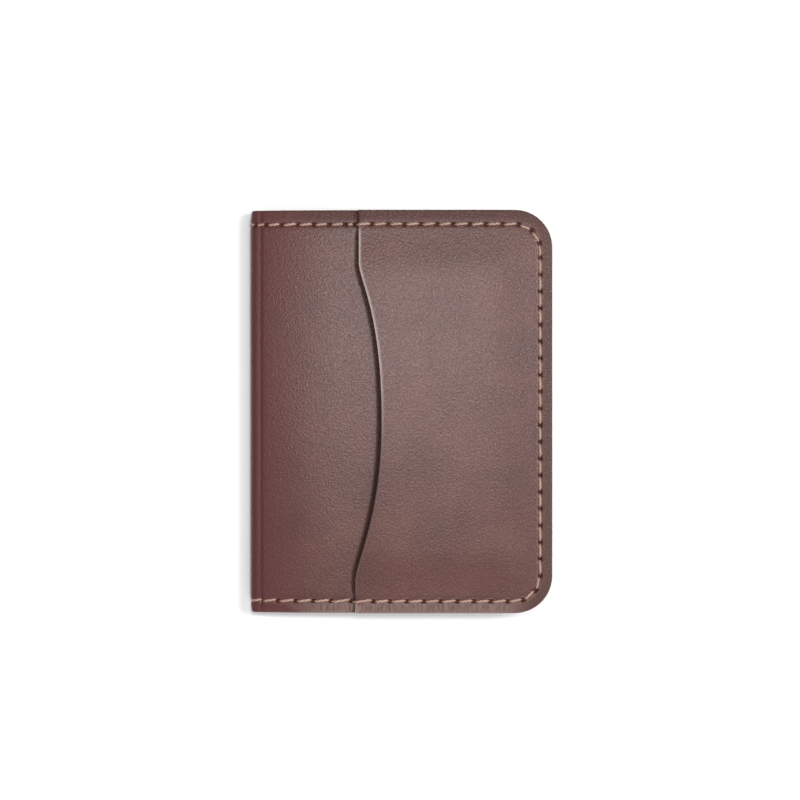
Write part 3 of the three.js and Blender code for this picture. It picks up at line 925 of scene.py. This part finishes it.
def stitchTree():
    # Stitches are laid on the flat leather here, and bent round the spine with it later.
    tree = bpy.data.node_groups.new("saddle_stitches", "GeometryNodeTree")
    for name, kind in (("Geometry", "NodeSocketGeometry"), ("Thread Width", "NodeSocketFloat"),
                       ("Thread Thickness", "NodeSocketFloat"), ("Gap", "NodeSocketFloat"),
                       ("Material", "NodeSocketMaterial"), ("Seed", "NodeSocketInt")):
        tree.interface.new_socket(name, in_out="INPUT", socket_type=kind)
    tree.interface.new_socket("Geometry", in_out="OUTPUT", socket_type="NodeSocketGeometry")
    given = tree.nodes.new("NodeGroupInput").outputs
    add = partial(addNode, tree)
    width = given["Thread Width"]
    half, handle = stitch["madeHalf"] * mm, stitch["madeReach"] * mm
    down = add("ShaderNodeMath", {0: width, 1: -stitch["dive"]}, operation="MULTIPLY")
    up = add("ShaderNodeMath", {0: width, 1: stitch["bow"]}, operation="MULTIPLY")
    # one stitch comes up out of a hole, lies over the leather and goes down into the next
    path = add("GeometryNodeCurvePrimitiveBezierSegment", {
        "Resolution": 9,
        "Start": add("ShaderNodeCombineXYZ", {"X": -half, "Z": down}),
        "Start Handle": add("ShaderNodeCombineXYZ", {"X": -handle, "Z": up}),
        "End Handle": add("ShaderNodeCombineXYZ", {"X": handle, "Z": up}),
        "End": add("ShaderNodeCombineXYZ", {"X": half, "Z": down})}, mode="POSITION")
    turn = add("ShaderNodeMath", {0: add("GeometryNodeSplineParameter"), 1: math.pi}, operation="MULTIPLY")
    swell = add("ShaderNodeMath", {0: turn}, operation="SINE")
    swell = add("ShaderNodeMath", {0: swell, 1: stitch["swell"]}, operation="POWER")
    thin = stitch["endFullness"]
    radius = add("ShaderNodeMath", {0: swell, 1: 1 - thin, 2: thin}, operation="MULTIPLY_ADD")
    radius = add("ShaderNodeMath", {0: radius, 1: stitch["fullness"]}, operation="MULTIPLY")
    section = add("GeometryNodeCurvePrimitiveCircle", {
        "Resolution": 8, "Radius": add("ShaderNodeMath", {0: width, 1: 2.0}, operation="DIVIDE")},
        mode="RADIUS")
    solid = add("GeometryNodeCurveToMesh", {
        "Curve": path, "Profile Curve": section, "Scale": radius, "Fill Caps": True})
    inMm = add("ShaderNodeVectorMath", {0: add("GeometryNodeInputPosition"), "Scale": 1 / mm},
               operation="SCALE")
    mapped = add("GeometryNodeStoreNamedAttribute", {
        "Geometry": solid, "Name": "thread", "Value": inMm}, data_type="FLOAT2", domain="CORNER")
    squash = add("ShaderNodeMath", {0: given["Thread Thickness"], 1: width}, operation="DIVIDE")
    pulled = add("GeometryNodeTransform", {
        "Geometry": mapped, "Scale": add("ShaderNodeCombineXYZ", {"X": 1.0, "Y": 1.0, "Z": squash})})
    # each stitch sways a little from its heading and differs a little in length
    seeds = [add("ShaderNodeMath", {0: given["Seed"], 1: i}, operation="ADD") for i in (1, 2)]
    sway = add("FunctionNodeRandomValue", {
        2: -stitch["sway"], 3: stitch["sway"], "Seed": seeds[0]}, out=1, data_type="FLOAT")
    ease = add("FunctionNodeRandomValue", {
        2: stitch["shortest"], 3: stitch["longest"], "Seed": seeds[1]}, out=1, data_type="FLOAT")
    heading = add("GeometryNodeInputNamedAttribute", {"Name": "heading"}, data_type="FLOAT")
    heading = add("ShaderNodeMath", {0: heading, 1: sway}, operation="ADD")
    facing = add("FunctionNodeEulerToRotation", {"Euler": add("ShaderNodeCombineXYZ", {"Z": heading})})
    span = add("GeometryNodeInputNamedAttribute", {"Name": "span"}, data_type="FLOAT")
    shown = add("ShaderNodeMath", {0: span, 1: given["Gap"]}, operation="SUBTRACT")
    stretch = add("ShaderNodeMath", {0: shown, 1: stitch["madeSpan"] * mm}, operation="DIVIDE")
    stretch = add("ShaderNodeMath", {0: stretch, 1: ease}, operation="MULTIPLY")
    placed = add("GeometryNodeInstanceOnPoints", {
        "Points": given["Geometry"], "Instance": pulled, "Rotation": facing,
        "Scale": add("ShaderNodeCombineXYZ", {"X": stretch, "Y": 1.0, "Z": 1.0})})
    real = add("GeometryNodeRealizeInstances", {"Geometry": placed})
    smoothed = add("GeometryNodeSetShadeSmooth", {"Geometry": real})
    painted = add("GeometryNodeSetMaterial", {"Geometry": smoothed, "Material": given["Material"]})
    add("NodeGroupOutput", {"Geometry": painted})
    return tree


def sewSeam(name, side, rows, tree):
    # rows are (holes, facing, steps, lift): steps are (lip line, depth of the face inside it),
    # starting with the face outside every pocket
    points, headings, spans, facings = [], [], [], []
    for holes, facing, steps, lift in rows:
        mirror = side * facing
        for a, b in zip(holes, holes[1:]):
            (u, v), (du, dv) = (a[:2] + b[:2]) / 2, b[:2] - a[:2]
            alongSide = abs(du) < 0.5
            slant = stitch["slantSide"] if alongSide else stitch["slantEnds"]
            points.append((u * mm, mirror * v * mm, 0))
            headings.append(math.atan2(mirror * dv, du) + math.radians(slant))
            spans.append(math.hypot(du, dv) * mm)
            facings.append(facing)
    mesh = bpy.data.meshes.new(name + "_points")
    mesh.from_pydata(points, [], [])
    for key, values in (("heading", headings), ("span", spans), ("facing", facings)):
        mesh.attributes.new(key, "FLOAT", "POINT").data.foreach_set("value", values)
    source = bpy.data.objects.new(name + "_points", mesh)
    bpy.context.collection.objects.link(source)
    modifier = source.modifiers.new("stitches", "NODES")
    modifier.node_group = tree
    values = {
        "Thread Width": threadWidth * mm, "Thread Thickness": stitch["thickness"] * mm,
        "Gap": stitch["gap"] * mm, "Material": threadMaterial, "Seed": stitch["seed"],
    }
    for item in tree.interface.items_tree:    # inputs are set by their sockets' identifiers
        if item.in_out == "INPUT" and item.name in values:
            modifier[item.identifier] = values[item.name]
    evaluated = source.evaluated_get(bpy.context.evaluated_depsgraph_get())
    made = bpy.data.meshes.new_from_object(evaluated)
    made.name = name
    bpy.data.objects.remove(source)
    flat, faced = np.empty(len(made.vertices) * 3), np.empty(len(made.vertices))
    made.vertices.foreach_get("co", flat)
    made.attributes["facing"].data.foreach_get("value", faced)
    flat = flat.reshape(-1, 3) / mm
    placed = np.empty_like(flat)
    for holes, facing, steps, lift in rows:
        chosen = faced == facing
        u, v, rise = flat[chosen, 0], side * facing * flat[chosen, 1], flat[chosen, 2]
        depth = np.full(len(u), steps[0][1])
        for (line, inside), (_, outside) in zip(steps[1:], steps):
            climb = smooth(pastLip(u, v, line), -stitch["lipRise"], 0)
            depth = depth + (inside - outside) * climb
        depth = depth - facing * (rise + lift(u, v))
        placed[chosen] = onSheet(side * u, v, depth)
    made.vertices.foreach_set("co", placed.ravel())
    for key in ("heading", "span", "facing"):
        if key in made.attributes:
            made.attributes.remove(made.attributes[key])
    piece = bpy.data.objects.new(name, made)
    bpy.context.collection.objects.link(piece)
    print(name, len(made.polygons), "faces")
    return piece


tree = stitchTree()
sink = stitch["proud"] - seam["grooveDepth"]
frontInside = [(None, liningGrain), (slotMouths["front_slot"], slotDepth + slotThickness)]
rearInside = [(None, liningGrain), (slotMouths["rear_slot_back"], slotDepth + slotThickness),
              (slotMouths["rear_slot_front"], secondSlotDepth + slotThickness)]
frontOutside = [(None, 0.0), (quickMouth, -layerGap - pocketThickness)]
acrossSpine = np.array([(-seam["spineHole"], seamTop, 0.0), (seam["spineHole"], seamTop, 0.0)])
seams = {
    "front": (1, frontHoles, frontOutside, frontInside, frontLift),
    "rear": (-1, rearHoles, [(None, 0.0)], rearInside, noLift),
    "spine": (1, acrossSpine, [(None, 0.0)], [(None, liningGrain)], noLift),
}
threads = {}
for name, (side, holes, outside, inside, lift) in seams.items():
    threads[name] = sewSeam("seam_" + name + "_thread", side, [
        (holes, 1, outside, lambda u, v: lift(u, v) + sink),
        (holes, -1, inside, lambda u, v: -lift(u, v) + sink)], tree)
bend(threads["front"], 1)
bend(threads["rear"], -1)
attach(threads["spine"], "spine_strip")
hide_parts("seam_thread_front_outside", "seam_thread_front_inside",
            "seam_thread_spine_bottom_outside", "seam_thread_spine_bottom_inside")
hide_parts("seam_thread_rear_outside", "seam_thread_rear_inside")
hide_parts("seam_thread_spine_top_outside", "seam_thread_spine_top_inside")
print("seams sewn")


# Floor, light and camera

studio = {
    "floor": "fafafa",
    "world": 0.34,
    "overhead": 0.37,           # watts; places and sizes are in metres
    "overheadPlace": (0.003, 0.036, 0.32),
    "overheadSize": 0.05,
    "side": 4.6,
    "sidePlace": (0.55, 0.12, 0.6),
    "sideSize": 0.34,
    "fill": 4.6,
    "fillPlace": (0.1, -0.85, 0.62),
    "fillSize": 0.5,
}

floorMesh = bpy.data.meshes.new("floor")
floorMesh.from_pydata([(-3, -3, 0), (3, -3, 0), (3, 3, 0), (-3, 3, 0)], [], [(0, 1, 2, 3)])
floorMaterial, add = newMaterial("painted_board_matt")       # a matt white painted board
board = add("ShaderNodeBsdfPrincipled", {"Base Color": linear(studio["floor"]), "Roughness": 0.9})
add("ShaderNodeOutputMaterial", {"Surface": board})
floorMesh.materials.append(floorMaterial)
floor = bpy.data.objects.new("floor", floorMesh)
bpy.context.collection.objects.link(floor)

world = bpy.data.worlds.new("studio")
bpy.context.scene.world = world
world.use_nodes = True
world.node_tree.nodes["Background"].inputs["Color"].default_value = (1, 1, 1, 1)
world.node_tree.nodes["Background"].inputs["Strength"].default_value = studio["world"]


def softBox(name, place, size, power):
    light = bpy.data.lights.new(name, "AREA")
    light.shape = "SQUARE"
    light.size = size
    light.energy = power
    holder = bpy.data.objects.new(name, light)
    holder.location = place
    holder.visible_camera = False
    holder.rotation_euler = (-Vector(place)).to_track_quat("-Z", "Y").to_euler()
    bpy.context.collection.objects.link(holder)


for name in ("overhead", "side", "fill"):
    softBox(name, studio[name + "Place"], studio[name + "Size"], studio[name])

view = {"lens": 100.0, "sensor": 36.0, "acrossFrame": 201.2, "aimX": -0.25, "aimY": 2.9}     # mm
cameraData = bpy.data.cameras.new("camera")
cameraData.lens = view["lens"]
cameraData.sensor_width = view["sensor"]
cameraData.clip_start = 0.01
camera = bpy.data.objects.new("camera", cameraData)
reach = view["acrossFrame"] * view["lens"] / view["sensor"]
camera.location = Vector((view["aimX"], view["aimY"], cadBox[1].z / mm + reach)) * mm
bpy.context.collection.objects.link(camera)
bpy.context.scene.camera = camera
bpy.context.scene.view_settings.view_transform = "Standard"
